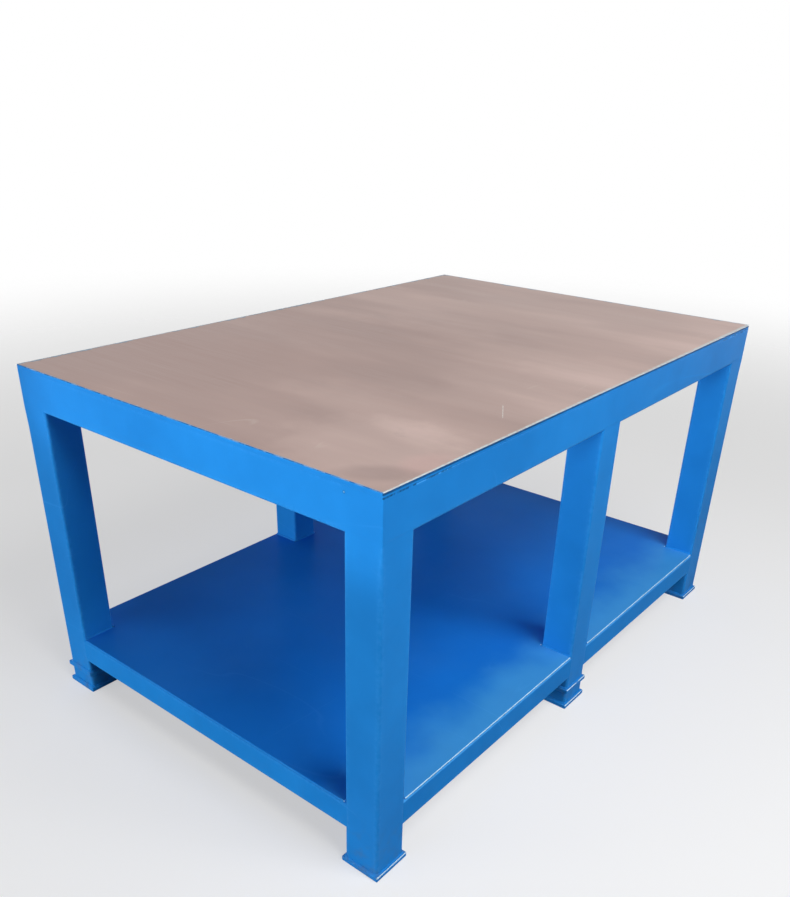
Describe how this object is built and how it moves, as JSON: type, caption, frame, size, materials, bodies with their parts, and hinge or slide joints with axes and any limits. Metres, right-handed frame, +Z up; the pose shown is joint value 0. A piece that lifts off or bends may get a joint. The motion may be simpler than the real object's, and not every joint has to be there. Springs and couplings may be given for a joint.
{
  "type": "steel plate workbench",
  "caption": "Heavy workshop bench: welded square tube frame on legs, thick bare steel top plate, low sheet steel shelf and welded foot plates, painted blue.",
  "frame": {"origin": "on the floor, under the middle of the bench: the centre of the bottom of its bounding box", "axes": "+X along the long side towards the right, +Y from the front long side to the back, +Z up"},
  "size_m": [1.51, 1.01, 0.8],
  "materials": {
    "blue_paint": "semi-gloss azure blue enamel, brushed or sprayed, with slight orange peel",
    "bare_steel": "bare ground plate with a warm grey-brown cast, cloudy marks and smudges, its edges painted blue"
  },
  "bodies": {
    "root": {"floor_plate_back_left": "blue_paint", "floor_plate_back_middle": "blue_paint", "floor_plate_back_right": "blue_paint", "floor_plate_front_left": "blue_paint", "floor_plate_front_middle": "blue_paint", "floor_plate_front_right": "blue_paint", "foot_packer_back_left": "blue_paint", "foot_packer_back_middle": "blue_paint", "foot_packer_back_right": "blue_paint", "foot_packer_front_middle": "blue_paint", "leg_back_left": "blue_paint", "leg_back_middle": "blue_paint", "leg_back_right": "blue_paint", "leg_front_left": "blue_paint", "leg_front_middle": "blue_paint", "leg_front_right": "blue_paint", "leg_plate_back_left": "blue_paint", "leg_plate_back_middle": "blue_paint", "leg_plate_back_right": "blue_paint", "leg_plate_front_middle": "blue_paint", "shelf_bearer_left": "blue_paint", "shelf_bearer_right": "blue_paint", "shelf_rail_back_left": "blue_paint", "shelf_rail_back_right": "blue_paint", "shelf_rail_front_left": "blue_paint", "shelf_rail_front_right": "blue_paint", "shelf_rail_left": "blue_paint", "shelf_rail_middle": "blue_paint", "shelf_rail_right": "blue_paint", "shelf_sheet": "blue_paint", "top_bearer_left": "blue_paint", "top_bearer_middle": "blue_paint", "top_bearer_right": "blue_paint", "top_plate": "bare_steel", "top_rail_back": "blue_paint", "top_rail_front": "blue_paint", "top_rail_left": "blue_paint", "top_rail_right": "blue_paint"}
  },
  "joints": []
}
